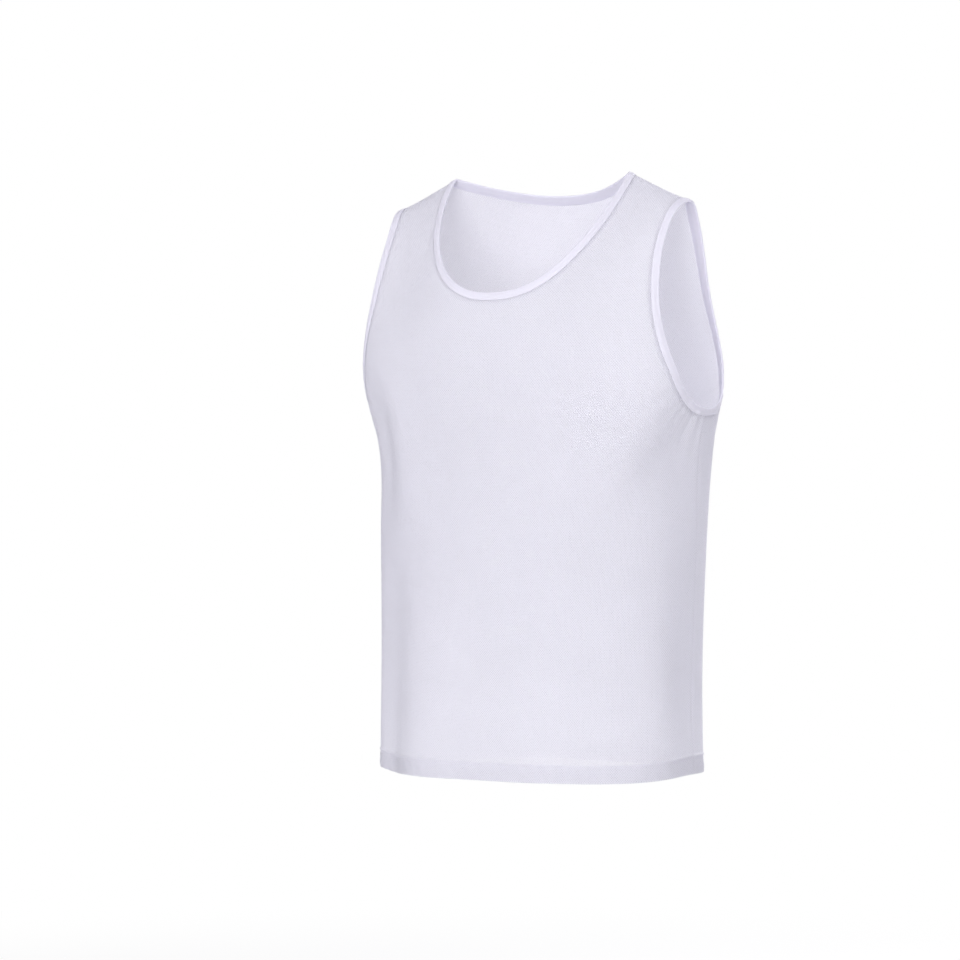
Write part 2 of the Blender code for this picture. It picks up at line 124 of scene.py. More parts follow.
# Creases and soft folds. A place is a distance round the body from the centre front, positive to
# the wearer's left, and a height up the cloth. Reach is half a fold's length, lean is its slant
# from upright in degrees, and bow is how far its ends curve aside. A positive depth stands out.
FOLDS = np.array(
    [
        # the wearer's right side, below the armhole and down to the hem
        (-0.190, -0.350, 0.110, 4.0, 0.030, -0.0100, 0.006),
        (-0.240, -0.355, 0.080, -6.0, 0.022, -0.0030, 0.004),
        (-0.102, -0.720, 0.330, 3.0, 0.048, 0.0066, 0.004),
        (-0.194, -0.640, 0.270, 3.0, 0.048, -0.0118, 0.004),
        (-0.248, -0.660, 0.250, 0.0, 0.036, 0.0085, 0.000),
        (-0.270, -0.560, 0.170, 3.0, 0.020, -0.0022, 0.008),
        (-0.205, -0.130, 0.170, -8.0, 0.034, 0.0050, 0.000),
        # the wearer's left side
        (0.330, -0.350, 0.120, 0.0, 0.030, 0.0022, 0.000),
        (0.262, -0.520, 0.210, -2.0, 0.019, -0.0022, 0.004),
        (0.268, -0.660, 0.140, 0.0, 0.024, -0.0040, 0.000),
        (0.214, -0.600, 0.150, 4.0, 0.020, 0.0014, -0.005),
        (0.206, -0.372, 0.105, 30.0, 0.022, -0.0038, 0.008),
        (0.248, -0.345, 0.130, 14.0, 0.043, -0.0130, 0.000),
        (0.176, -0.330, 0.065, 48.0, 0.012, 0.0010, -0.006),
        (0.352, -0.085, 0.085, 0.0, 0.040, 0.0060, 0.000),
        # across the chest and the belly
        (-0.098, -0.300, 0.090, -40.0, 0.022, -0.0013, 0.010),
        (0.070, -0.330, 0.110, 38.0, 0.026, -0.0010, 0.012),
        (0.030, -0.560, 0.150, 5.0, 0.034, -0.0014, 0.010),
        (-0.055, -0.520, 0.160, -4.0, 0.030, 0.0012, -0.008),
        (0.112, -0.640, 0.120, 3.0, 0.024, -0.0012, 0.004),
        # the back: a hollow between the shoulders, then slacker folds to the hem
        (0.567, -0.230, 0.190, 0.0, 0.048, -0.0075, 0.000),
        (0.388, -0.350, 0.120, -14.0, 0.034, -0.0100, 0.000),
        (-0.396, -0.360, 0.110, 12.0, 0.032, -0.0090, 0.004),
        (0.440, -0.300, 0.100, -42.0, 0.020, -0.0032, 0.010),
        (-0.452, -0.320, 0.120, 44.0, 0.023, -0.0034, -0.012),
        (0.492, -0.420, 0.100, -30.0, 0.018, 0.0022, 0.008),
        (-0.500, -0.450, 0.085, 24.0, 0.016, 0.0020, -0.006),
        (0.392, -0.620, 0.220, -5.0, 0.036, -0.0060, 0.006),
        (-0.380, -0.650, 0.240, 4.0, 0.040, -0.0068, -0.004),
        (0.520, -0.610, 0.120, 4.0, 0.026, -0.0034, 0.008),
        (-0.462, -0.640, 0.100, -3.0, 0.024, 0.0030, 0.000),
        # over the shoulders
        (-0.182, -0.080, 0.045, 30.0, 0.010, -0.0010, 0.004),
        (0.176, -0.070, 0.040, -34.0, 0.009, -0.0009, -0.004),
    ],
    dtype=[
        ("around", "f8"),
        ("height", "f8"),
        ("reach", "f8"),
        ("lean", "f8"),
        ("width", "f8"),
        ("depth", "f8"),
        ("bow", "f8"),
    ],
)

# Small puckers where an edge is bound: wavelength along the edge, phase, share.
PUCKERS = np.array(
    [(0.0095, 0.4, 0.45), (0.0142, 1.9, 0.35), (0.0231, 4.1, 0.20)],
    dtype=[("wavelength", "f8"), ("phase", "f8"), ("share", "f8")],
)
PUCKER_DISTANCE = 0.013        # from the edge to where they are highest
PUCKER_SHIFT = 0.5             # makes the wearer's left and right differ
PUCKER_AT_NECK = 0.00022
PUCKER_AT_ARMHOLE = 0.00035
PUCKER_AT_UNDERARM = 0.0014
UNDERARM_REACH = 0.060

# The slack of the cloth: wavelengths round the body and up, phase, height.
SLACK = np.array(
    [(0.1890, 0.31, 0.6, 0.0006), (0.1134, 0.47, 2.2, 0.0004), (0.0709, 0.22, 4.0, 0.0002)],
    dtype=[("around", "f8"), ("up", "f8"), ("phase", "f8"), ("height", "f8")],
)
SLACK_FADE = 0.12              # it dies out over this length below the shoulder line

# Wrinkles that the stitching has drawn across the hem: wavelength, slant, phase, height.
HEM_WRINKLES = np.array(
    [(0.0189, 0.8, 0.3, 0.00032), (0.0113, -0.6, 1.7, 0.00024), (0.0378, 1.5, 2.9, 0.00030)],
    dtype=[("wavelength", "f8"), ("slant", "f8"), ("phase", "f8"), ("height", "f8")],
)

SEAM_GROOVE = 0.0003
SEAM_GROOVE_WIDTH = 0.0013
SEAM_SWELL = 0.0004
SEAM_SWELL_AT = 0.0042
SEAM_SWELL_WIDTH = 0.0022
HEM_RIDGE = 0.0010             # the turned-up edge shows as a ridge above the stitching
HEM_RIDGE_AT = 0.0208
HEM_RIDGE_WIDTH = 0.0013
HEM_GROOVE = 0.0002
HEM_GROOVE_AT = 0.0180
HEM_GROOVE_WIDTH = 0.0013
HEM_FULLNESS = 0.0003
HEM_RISE = 0.0045              # the hem hangs this much higher at the wearer's left seam
HEM_RISE_REACH = 0.060
HEM_SAG = 0.0030               # and this much lower below the fold on the wearer's right
HEM_SAG_AT = -0.192
HEM_SAG_REACH = 0.048

ANGLE_STEPS = 600
DROP_STEPS = 1500
NECK_CURVE_STEPS = 200
ARMHOLE_CURVE_STEPS = 300
NUDGE = 2.0e-4
SAME_PLACE = 1.0e-9
POINTS_IN_STRIP = 500
SHARP_EDGE = math.radians(50)


def smooth(at, places, values):
    """A curve with no corners through a short table."""
    slopes = np.gradient(values, places)
    at = np.clip(at, places[0], places[-1])
    cell = np.clip(np.searchsorted(places, at) - 1, 0, len(places) - 2)
    span = places[cell + 1] - places[cell]
    t = (at - places[cell]) / span
    start = (2 * t**3 - 3 * t**2 + 1) * values[cell]
    end = (3 * t**2 - 2 * t**3) * values[cell + 1]
    leave = (t**3 - 2 * t**2 + t) * span * slopes[cell]
    arrive = (t**3 - t**2) * span * slopes[cell + 1]
    return start + end + leave + arrive


def section(column, z):
    return smooth(z, SECTIONS["z"], SECTIONS[column])


def ridge_height(x):
    """Height of the shoulder line, which is also the line that the front and back share."""
    rounded = (x**2 + NAPE_ROUNDING**2) / (2.0 * NAPE_ROUNDING)
    across = np.where(np.abs(x) < NAPE_ROUNDING, rounded, np.abs(x))
    return -SHOULDER_DROP * (across - NECK_HALF_WIDTH) / (SHOULDER_TIP_X - NECK_HALF_WIDTH)


def bulge(x, drop):
    """Share of the full depth at a drop below the shoulder line."""
    t = np.clip(drop / SHOULDER_FALL, 0.0, 1.0)
    edges = (RIDGE_AT_NECK, RIDGE_AT_TIP)
    power = np.interp(np.abs(x), (NECK_HALF_WIDTH, SHOULDER_TIP_X), edges)
    return (1.0 - (1.0 - t) ** 2) ** power


def hump(distance, width):
    return np.exp(-((distance / width) ** 2))


def running_length(x, y):
    return np.concatenate(([0.0], np.cumsum(np.hypot(np.diff(x), np.diff(y)))))


# The chest section turns a girth into an angle round the form, and the profile over the middle of
# the shoulder turns a length down the cloth into a drop.
CHEST_Z = -0.134
CHEST_WIDTH = float(section("half_width", CHEST_Z))
CHEST_DEPTH = float(section("front", CHEST_Z))
CHEST_POWER = 2.0 / float(section("roundness", CHEST_Z))
ANGLES = np.linspace(0.0, math.pi / 2, ANGLE_STEPS)
GIRTHS = running_length(
    CHEST_WIDTH * np.sin(ANGLES) ** CHEST_POWER,
    CHEST_DEPTH * np.maximum(np.cos(ANGLES), 0.0) ** CHEST_POWER,
)
DROPS = LENGTH * PROFILE_REACH * np.linspace(0.0, 1.0, DROP_STEPS) ** 2
SHOULDER_MIDDLE = (NECK_HALF_WIDTH + SHOULDER_TIP_X) / 2
FALLS = running_length(DROPS, PROFILE_DEPTH * CHEST_DEPTH * bulge(SHOULDER_MIDDLE, DROPS))
SIDE_GIRTH = float(GIRTHS[-1])


def ridge_over(angle):
    return ridge_height(CHEST_WIDTH * np.sin(angle) ** CHEST_POWER)


def top_height(girth):
    """Height of the shoulder line at a girth."""
    return ridge_over(np.interp(np.abs(girth), GIRTHS, ANGLES))


def at_side(girth, within=SAME_PLACE):
    return np.abs(girth) > SIDE_GIRTH - within


def at_ridge(girth, height, within=SAME_PLACE):
    return height > top_height(girth) - within


def place(girth, height, side):
    """Points of the form's outer face, before any crease."""
    angle = np.interp(np.abs(girth), GIRTHS, ANGLES)
    ridge = ridge_over(angle)
    drop = np.interp(ridge - height, FALLS, DROPS)
    z = ridge - drop
    power = 2.0 / section("roundness", z)
    x = section("half_width", z) * np.sin(angle) ** power
    depth = section("front" if side == FRONT else "back", z)
    y = side * depth * np.maximum(np.cos(angle), 0.0) ** power * bulge(x, drop)
    return np.stack((np.sign(girth) * x, y, z), -1)


def pattern_spot(x, z):
    """Girth and height of the place that has this x and z."""
    share = np.clip(np.abs(x) / section("half_width", z), 0.0, 1.0)
    angle = np.arcsin(share ** (section("roundness", z) / 2.0))
    ridge = ridge_over(angle)
    girth = np.sign(x) * np.interp(angle, ANGLES, GIRTHS)
    return girth, ridge - np.interp(ridge - z, DROPS, FALLS)


def directions(girth, height, side):
    """How a point moves with girth and with height, and the outward normal there."""
    left = np.clip(girth - NUDGE, -SIDE_GIRTH, SIDE_GIRTH)
    right = np.clip(girth + NUDGE, -SIDE_GIRTH, SIDE_GIRTH)
    low = height - NUDGE
    high = np.minimum(height + NUDGE, top_height(girth))
    level = np.minimum(height, np.minimum(top_height(left), top_height(right)))
    along = (place(right, level, side) - place(left, level, side)) / (right - left)[:, None]
    up = (place(girth, high, side) - place(girth, low, side)) / (high - low)[:, None]
    normal = -side * np.cross(along, up)
    return along, up, normal


def unit(vectors):
    return vectors / np.linalg.norm(vectors, axis=-1, keepdims=True)


def normals(girth, height, side):
    """Outward normals, square to the seam plane where the front meets the back."""
    normal = directions(girth, height, side)[2]
    normal[at_side(girth, NUDGE) | at_ridge(girth, height, NUDGE), 1] = 0.0
    return unit(normal)


def evenly(girth, height, side):
    """The same line with stations at equal lengths."""
    line = place(girth, height, side)
    length = np.concatenate(([0.0], np.cumsum(np.linalg.norm(np.diff(line, axis=0), axis=1))))
    stops = np.linspace(0.0, length[-1], round(length[-1] / STATION) + 1)
    return np.interp(stops, length, girth), np.interp(stops, length, height)


def neck_quarter(side):
    """Half of the front or back neckline, from the centre up to the shoulder."""
    turn = np.linspace(0.0, math.pi / 2, NECK_CURVE_STEPS)
    if side == FRONT:
        across, down = NECK_SQUARENESS
        x = NECK_HALF_WIDTH * np.sin(turn) ** (2 / across)
        z = -NECK_DROP_FRONT * np.maximum(np.cos(turn), 0.0) ** (2 / down)
    else:
        x = NECK_HALF_WIDTH * np.sin(turn)
        z = -NECK_DROP_BACK * np.cos(turn) ** 2
    girth, height = pattern_spot(x, z)
    girth[0] = 0.0
    height[-1] = top_height(girth[-1:])[0]
    return evenly(girth, height, side)


def armhole_quarter(side):
    """The front or back half of an armhole, from the underarm up to the shoulder's tip."""
    rise = np.linspace(0.0, 1.0, ARMHOLE_CURVE_STEPS) ** 2
    z = ARMHOLE["z"][0] + rise * (ARMHOLE["z"][-1] - ARMHOLE["z"][0])
    girth, height = pattern_spot(smooth(z, ARMHOLE["z"], ARMHOLE["x"]), z)
    girth[0] = SIDE_GIRTH
    height[-1] = top_height(girth[-1:])[0]
    return evenly(girth, height, side)


def hem_level(girth):
    """Height of the hem's fold on the pattern."""
    angle = np.interp(np.abs(girth), GIRTHS, ANGLES)
    x = np.sign(girth) * section("half_width", -LENGTH) * np.sin(angle) ** CHEST_POWER
    rise = HEM_RISE * hump(SIDE_GIRTH - girth, HEM_RISE_REACH)
    rise = rise - HEM_SAG * hump(girth - HEM_SAG_AT, HEM_SAG_REACH)
    z = -LENGTH + HEM_TILT * x + rise
    ridge = ridge_over(angle)
    return ridge - np.interp(ridge - z, DROPS, FALLS)


neck_lines = {side: neck_quarter(side) for side in (FRONT, BACK)}
armhole_lines = {side: armhole_quarter(side) for side in (FRONT, BACK)}


def beside(line, girth, height):
    """Distance from each place to a line, the length along it to there, and the whole length."""
    points = np.stack((np.abs(girth), height), -1)
    nodes = np.stack(line, -1)
    steps = np.diff(nodes, axis=0)
    spans = np.linalg.norm(steps, axis=1)
    starts = np.concatenate(([0.0], np.cumsum(spans[:-1])))
    from_start = points[:, None] - nodes[None, :-1]
    share = np.clip(np.sum(from_start * steps, axis=2) / spans**2, 0.0, 1.0)
    distance = np.linalg.norm(from_start - share[..., None] * steps, axis=2)
    nearest = np.argmin(distance, axis=1)
    rows = np.arange(len(points))
    along = starts[nearest] + share[rows, nearest] * spans[nearest]
    return distance[rows, nearest], along, float(spans.sum())


def ripple(along, hand):
    """The puckers' rise and fall along an edge."""
    total = 0.0
    for wave in PUCKERS:
        phase = wave["phase"] * (1.0 + PUCKER_SHIFT * hand)
        total = total + wave["share"] * np.sin(2 * math.pi * along / wave["wavelength"] + phase)
    return total


def pucker_share(distance):
    """Share of the puckers' height at a distance from the edge, 1 where they are highest."""
    return distance / PUCKER_DISTANCE * np.exp(1.0 - distance / PUCKER_DISTANCE)


def relief(girth, height, side):
    """How far the cloth stands out from the form: folds, slack, puckers, seams and hem."""
    hand = np.where(girth < 0, -1.0, 1.0)
    around = girth if side == FRONT else hand * (2 * SIDE_GIRTH - np.abs(girth))
    girth_round = 4 * SIDE_GIRTH
    out = np.zeros(len(girth))
    for fold in FOLDS:
        beyond = around - fold["around"]
        beyond = beyond - girth_round * np.round(beyond / girth_round)
        above = height - fold["height"]
        lean = math.radians(fold["lean"])
        lengthwise = beyond * math.sin(lean) + above * math.cos(lean)
        share = lengthwise / fold["reach"]
        across = beyond * math.cos(lean) - above * math.sin(lean) - fold["bow"] * share**2
        taper = np.clip(1.0 - share**2, 0.0, 1.0) ** 2
        out += fold["depth"] * hump(across, fold["width"]) * taper
    fade = np.clip((top_height(girth) - height) / SLACK_FADE, 0.0, 1.0)
    for wave in SLACK:
        turn = 2 * math.pi * (around / wave["around"] + height / wave["up"])
        out += wave["height"] * np.sin(turn + wave["phase"]) * fade

    distance, along, _ = beside(neck_lines[side], girth, height)
    out += PUCKER_AT_NECK * pucker_share(distance) * ripple(along, hand)
    distance, along, total = beside(armhole_lines[side], girth, height)
    off_tip = np.clip((total - along) / UNDERARM_REACH, 0.0, 1.0)
    size = PUCKER_AT_ARMHOLE + PUCKER_AT_UNDERARM * hump(along, UNDERARM_REACH)
    out += size * pucker_share(distance) * off_tip * ripple(-side * along, hand)

    to_side = SIDE_GIRTH - np.abs(girth)
    to_ridge = top_height(girth) - height
    for distance in (to_side, to_ridge):
        out -= SEAM_GROOVE * hump(distance, SEAM_GROOVE_WIDTH)
        out += SEAM_SWELL * hump(distance - SEAM_SWELL_AT, SEAM_SWELL_WIDTH)

    above = height - hem_level(girth)
    out += HEM_RIDGE * hump(above - HEM_RIDGE_AT, HEM_RIDGE_WIDTH)
    out -= HEM_GROOVE * hump(above - HEM_GROOVE_AT, HEM_GROOVE_WIDTH)
    band = np.clip((HEM_GROOVE_AT - above) / HEM_RIDGE_WIDTH, 0.0, 1.0)
    out += HEM_FULLNESS * band
    for wave in HEM_WRINKLES:
        turn = 2 * math.pi * (around + wave["slant"] * above) / wave["wavelength"] + wave["phase"]
        out += wave["height"] * np.sin(turn) * hump(above - HEM_DEPTH / 2, HEM_DEPTH / 2)
    return out


def cloth(girth, height, side):
    """Points of the cloth's outer face with its creases, and the form's normals there."""
    normal = normals(girth, height, side)
    points = place(girth, height, side) + relief(girth, height, side)[:, None] * normal
    points[:, 1] += side * SEAM_HAIRLINE
    return points, normal


class Edge:
    """A line of stations along a cut edge. Each can be moved into the cloth by a width."""

    def __init__(self, girth, height, side, into_girth, into_height):
        self.girth = girth
        self.height = height
        self.side = side
        self.into_girth = into_girth
        self.into_height = into_height

    def moved(self, width):
        girth = self.girth + width * self.into_girth
        girth = np.clip(girth, -SIDE_GIRTH, SIDE_GIRTH)
        height = np.minimum(self.height + width * self.into_height, top_height(girth))
        return girth, np.where(at_ridge(self.girth, self.height), top_height(girth), height)

    def points(self, width):
        """Outer face and normal at a width in from the edge."""
        girth, height = self.moved(width)
        outer = np.zeros((len(girth), 3))
        normal = np.zeros((len(girth), 3))
        for side in (FRONT, BACK):
            on = self.side == side
            outer[on], normal[on] = cloth(girth[on], height[on], side)
        outer[at_side(girth) | at_ridge(girth, height), 1] = 0.0
        return outer, normal

    def run(self, side):
        """Station numbers on one side, with both shared ends."""
        on = (self.side == side) & ~at_side(self.girth) & ~at_ridge(self.girth, self.height)
        count = len(on)
        start = [k for k in range(count) if on[k] and not on[k - 1]][0]
        run = [(start - 1) % count]
        while on[(run[-1] + 1) % count]:
            run.append((run[-1] + 1) % count)
        run.append((run[-1] + 1) % count)
        return run


def closed_edge(runs):
    """One closed edge from (girth, height, side) runs that each start where the last one ended."""
    girth = np.concatenate([run[0][:-1] for run in runs])
    height = np.concatenate([run[1][:-1] for run in runs])
    side = np.concatenate([np.full(len(run[0]) - 1, run[2]) for run in runs])
    line = np.zeros((len(girth), 3))
    along = np.zeros_like(line)
    up = np.zeros_like(line)
    for one in (FRONT, BACK):
        on = side == one
        line[on] = place(girth[on], height[on], one)
        along[on], up[on], _ = directions(girth[on], height[on], one)
    tangent = unit(np.roll(line, -1, axis=0) - np.roll(line, 1, axis=0))
    normal = unit(np.cross(along, up))
    into = unit(np.cross(normal, tangent))
    outward = line - line.mean(axis=0)
    into *= np.sign(np.sum(into * outward, axis=1))[:, None]
    into_girth = np.zeros(len(girth))
    into_height = np.zeros(len(girth))
    for k in range(len(girth)):
        axes = np.stack((along[k], up[k]), -1)
        into_girth[k], into_height[k] = np.linalg.lstsq(axes, into[k], rcond=None)[0]
    into_girth[at_side(girth)] = 0.0
    into_height[at_side(girth)] = -1.0
    on_ridge = at_ridge(girth, height)
    into_girth[on_ridge] = np.sign(into_girth[on_ridge])
    return Edge(girth, height, side, into_girth, into_height)


def round_neck():
    front_girth, front_height = neck_lines[FRONT]
    back_girth, back_height = neck_lines[BACK]
    return closed_edge(
        [
            (front_girth, front_height, FRONT),
            (back_girth[::-1], back_height[::-1], BACK),
            (-back_girth, back_height, BACK),
            (-front_girth[::-1], front_height[::-1], FRONT),
        ]
    )


def round_armhole(hand):
    """hand is 1 for the wearer's left and -1 for the right."""
    front_girth, front_height = armhole_lines[FRONT]
    back_girth, back_height = armhole_lines[BACK]
    return closed_edge(
        [
            (hand * front_girth, front_height, FRONT),
            (hand * back_girth[::-1], back_height[::-1], BACK),
        ]
    )


def round_hem():
    steps = round(SIDE_GIRTH / STATION)
    quarter = np.linspace(0.0, SIDE_GIRTH, steps + 1)
    girth = np.concatenate((quarter[:-1], quarter[:0:-1], -quarter[:-1], -quarter[:0:-1]))
    side = np.repeat((FRONT, BACK, BACK, FRONT), steps)
    still = np.zeros(len(girth))
    return Edge(girth, hem_level(girth), side, still, still + 1.0)


neck_edge = round_neck()
armhole_edges = {1: round_armhole(1), -1: round_armhole(-1)}
hem_edge = round_hem()


def inside(points, loop):
    """Which points lie inside a closed loop."""
    hit = np.zeros(len(points), bool)
    for a, b in zip(loop, np.roll(loop, -1, axis=0)):
        if a[1] == b[1]:
            continue
        crosses = (a[1] > points[:, 1]) != (b[1] > points[:, 1])
        reach = (b[0] - a[0]) * (points[:, 1] - a[1]) / (b[1] - a[1]) + a[0]
        hit ^= crosses & (points[:, 0] < reach)
    return hit


def distances(points, others):
    """Distance from each point to the nearest of the others, in strips to spare memory."""
    strips = [
        np.linalg.norm(strip[:, None] - others[None], axis=2).min(axis=1)
        for strip in np.array_split(points, max(1, len(points) // POINTS_IN_STRIP))
    ]
    return np.concatenate(strips)


def panel_outline(side):
    """The panel's edge on the pattern: hem, side, armhole, shoulder, neck and back down."""
    def row(edge):
        girth, height = edge.moved(RAW_EDGE)
        run = edge.run(side)
        return np.stack((girth[run], height[run]), -1)

    hem_row = row(hem_edge)
    hem_row = hem_row[np.argsort(hem_row[:, 0])]
    left = row(armhole_edges[1])
    left = left[np.argsort(left[:, 1])]
    right = row(armhole_edges[-1])
    right = right[np.argsort(-right[:, 1])]
    neck_row = row(neck_edge)
    neck_row = neck_row[np.argsort(-neck_row[:, 0])]

    def up_side(start, end):
        steps = round(abs(end[1] - start[1]) / STATION)
        height = np.linspace(start[1], end[1], steps + 1)[1:-1]
        return np.stack((np.full(len(height), start[0]), height), -1)

    def along_shoulder(start, end):
        steps = round(abs(end[0] - start[0]) / STATION)
        girth = np.linspace(start[0], end[0], steps + 1)[1:-1]
        return np.stack((girth, top_height(girth)), -1)

    return np.concatenate(
        (
            hem_row,
            up_side(hem_row[-1], left[0]),
            left,
            along_shoulder(left[-1], neck_row[0]),
            neck_row,
            along_shoulder(neck_row[-1], right[0]),
            right,
            up_side(right[-1], hem_row[0]),
        )
    )


def panel_points(outline):
    """Rows of points beside the hem and the seams, and an even lattice over the rest."""
    low = outline.min(axis=0)
    high = outline.max(axis=0)
    steps = round(SIDE_GIRTH / STATION)
    rows = []
    girth = np.linspace(-SIDE_GIRTH, SIDE_GIRTH, 2 * steps + 1)
    for width in ROWS_AT_HEM:
        rows.append(np.stack((girth, hem_level(girth) + width), -1))
    height = np.arange(low[1], high[1], STATION)
    for width in ROWS_AT_SEAM:
        for hand in (-1, 1):
            girth = np.full(len(height), hand * (SIDE_GIRTH - width))
            rows.append(np.stack((girth, height), -1))
    for width in ROWS_AT_SEAM:
        for hand in (-1, 1):
            girth = hand * np.arange(0.0, high[0], STATION)
            rows.append(np.stack((girth, top_height(girth) - width), -1))
    kept = outline
    for row in rows:
        row = row[inside(row, outline)]
        if len(row):
            row = row[distances(row, kept) > ROOM_BETWEEN_POINTS]
            kept = np.concatenate((kept, row))
    step_up = CLOTH_SPACING * math.sqrt(3) / 2
    lattice = []
    for number in range(int((high[1] - low[1]) / step_up) + 1):
        girth = np.arange(-int(high[0] / CLOTH_SPACING) - 1, int(high[0] / CLOTH_SPACING) + 2)
        girth = (girth + (number % 2) / 2) * CLOTH_SPACING
        lattice.append(np.stack((girth, np.full(len(girth), low[1] + number * step_up)), -1))
    lattice = np.concatenate(lattice)
    lattice = lattice[inside(lattice, outline)]
    lattice = lattice[distances(lattice, kept) > ROOM_AT_ROWS]
    return np.concatenate((kept, lattice))


def finished(name, points, faces, uv, material):
    """A mesh object with its pattern coordinates, shaded smooth apart from its sharp edges."""
    mesh = bpy.data.meshes.new(name)
    mesh.from_pydata(points.tolist(), [], faces)
    layer = mesh.uv_layers.new(name="cloth")
    layer.uv.foreach_set("vector", np.asarray(uv, np.float32).ravel())
    mesh.materials.append(material)
    mesh.shade_smooth()
    mesh.set_sharp_from_angle(angle=SHARP_EDGE)
    mesh.validate()
    piece = bpy.data.objects.new(name, mesh)
    bpy.context.scene.collection.objects.link(piece)
    return piece


PATTERN_CORNER = np.array((0.300, 0.730))    # keeps the pattern coordinates above nought


def cut_panel(name, side, material):
    """Outer and inner face a cloth's thickness apart, closed along the cut edge."""
    outline = panel_outline(side)
    spots = panel_points(outline)
    count = len(spots)
    border = [(k, (k + 1) % len(outline)) for k in range(len(outline))]
    filled = delaunay_2d_cdt([Vector(p) for p in spots], border, [], 1, SAME_PLACE)
    corners = [sources[0] for sources in filled[3]]
    faces = []
    for a, b, c in filled[2]:
        a, b, c = corners[a], corners[b], corners[c]
        ab = spots[b] - spots[a]
        ac = spots[c] - spots[a]
        turned_left = ab[0] * ac[1] - ab[1] * ac[0] > 0
        faces.append((a, b, c) if turned_left == (side == FRONT) else (a, c, b))
    outer, normal = cloth(spots[:, 0], spots[:, 1], side)
    inner = outer - MESH_THICKNESS * normal
    sides = {(f[k], f[(k + 1) % 3]) for f in faces for k in range(3)}
    walls = [
        (end, start, start + count, end + count)
        for start, end in sides
        if (end, start) not in sides
    ]
    faces = faces + [(a + count, c + count, b + count) for a, b, c in faces] + sorted(walls)
    flat = np.concatenate((spots, spots)) + PATTERN_CORNER
    uv = flat[[corner for face in faces for corner in face]]
    panel = finished(name, np.concatenate((outer, inner)), faces, uv, material)
    # a mask of the hem's band, where painted light lightens the panels' colour
    below = HEM_RIDGE_AT - (spots[:, 1] - hem_level(spots[:, 0]))
    band = np.clip(below / HEM_RIDGE_WIDTH, 0.0, 1.0)
    doubled = panel.data.attributes.new("hem_band", "FLOAT", "POINT")
    doubled.data.foreach_set("value", np.concatenate((band, band)).astype(np.float32))
    return panel, spots, filled[2]


MESH_COLOUR = (0.850, 0.845, 0.890)
MESH_RIM_PAINTED_SHADE = (0.766, 0.758, 0.814)           # painted shade, down in the holes' rims
MESH_TONES = (0.97, 1.02)                    # the cloth's darkest and lightest clouds
HOLE_PITCH = 0.0030                          # along a row, and the rows are half of it apart
HOLE_RADIUS = 0.00044
HOLE_EDGE = (0.85, 1.10)                     # in hole radii, and so are the next two
# the painted shade round each hole fades out between these
HOLE_RIM_PAINTED_SHADE = (1.00, 1.90)
YARN_RISE = (0.70, 2.00)
YARN_PITCH = 0.00075
YARN_RELIEF = 0.12
MESH_LETS_THROUGH = 0.50                     # share of the light that the yarn passes on
HEM_PAINTED_LIGHT = 0.042                       # painted light: the hem's band is lightened in colour for the light that the layer turned up behind it sends back


def math_node(nodes, links, operation, first, second=None):
    node = nodes.new("ShaderNodeMath")
    node.operation = operation
    for socket, value in zip(node.inputs, (first, second)):
        if value is None:
            continue
        if isinstance(value, (int, float)):
            socket.default_value = value
        else:
            links.new(value, socket)
    return node.outputs["Value"]


def open_mesh_group():
    """Staggered holes in a knit: a hole mask, a mask for the painted shade on the low rim round
    each hole, and the height of the yarn.
    """
    group = bpy.data.node_groups.new("open_mesh_knit", "ShaderNodeTree")
    group.interface.new_socket("Pattern", in_out="INPUT", socket_type="NodeSocketVector")
    sizes = (("Pitch", HOLE_PITCH), ("Hole Radius", HOLE_RADIUS), ("Yarn Pitch", YARN_PITCH))
    for name, value in sizes:
        socket = group.interface.new_socket(name, in_out="INPUT", socket_type="NodeSocketFloat")
        socket.default_value = value
    for name in ("Hole", "Painted Shade", "Height"):
        group.interface.new_socket(name, in_out="OUTPUT", socket_type="NodeSocketFloat")
    nodes = group.nodes
    links = group.links
    given = nodes.new("NodeGroupInput")
    made = nodes.new("NodeGroupOutput")
    split = nodes.new("ShaderNodeSeparateXYZ")
    links.new(given.outputs["Pattern"], split.inputs["Vector"])
    pitch = given.outputs["Pitch"]

    def step(operation, first, second=None):
        return math_node(nodes, links, operation, first, second)

    across = step("DIVIDE", split.outputs["X"], pitch)
    up = step("MULTIPLY", step("DIVIDE", split.outputs["Y"], pitch), 2.0)
    row = step("FLOOR", up)
    shift = step("MULTIPLY", step("MODULO", row, 2.0), 0.5)
    from_left = step("SUBTRACT", step("FRACT", step("ADD", across, shift)), 0.5)
    from_low = step("MULTIPLY", step("SUBTRACT", step("FRACT", up), 0.5), 0.5)
    x = step("MULTIPLY", from_left, pitch)
    y = step("MULTIPLY", from_low, pitch)
    distance = step("SQRT", step("ADD", step("MULTIPLY", x, x), step("MULTIPLY", y, y)))
    share = step("DIVIDE", distance, given.outputs["Hole Radius"])

    def soft(near, far):
        """1 up to the nearer distance from the middle of a hole, falling to 0 at the farther."""
        node = nodes.new("ShaderNodeMapRange")
        node.interpolation_type = "SMOOTHSTEP"
        node.inputs["From Min"].default_value = near
        node.inputs["From Max"].default_value = far
        node.inputs["To Min"].default_value = 1.0
        node.inputs["To Max"].default_value = 0.0
        links.new(share, node.inputs["Value"])
        return node.outputs["Result"]

    def wave(axis):
        turns = step("DIVIDE", split.outputs[axis], given.outputs["Yarn Pitch"])
        return step("SINE", step("MULTIPLY", turns, math.tau))

    links.new(soft(*HOLE_EDGE), made.inputs["Hole"])
    # painted shade on the low rim round each hole, where the yarn dips
    links.new(soft(*HOLE_RIM_PAINTED_SHADE), made.inputs["Painted Shade"])
    yarn = step("MULTIPLY", step("MULTIPLY", wave("Y"), wave("X")), YARN_RELIEF)
    links.new(step("ADD", step("SUBTRACT", 1.0, soft(*YARN_RISE)), yarn), made.inputs["Height"])
    return group


open_mesh = open_mesh_group()


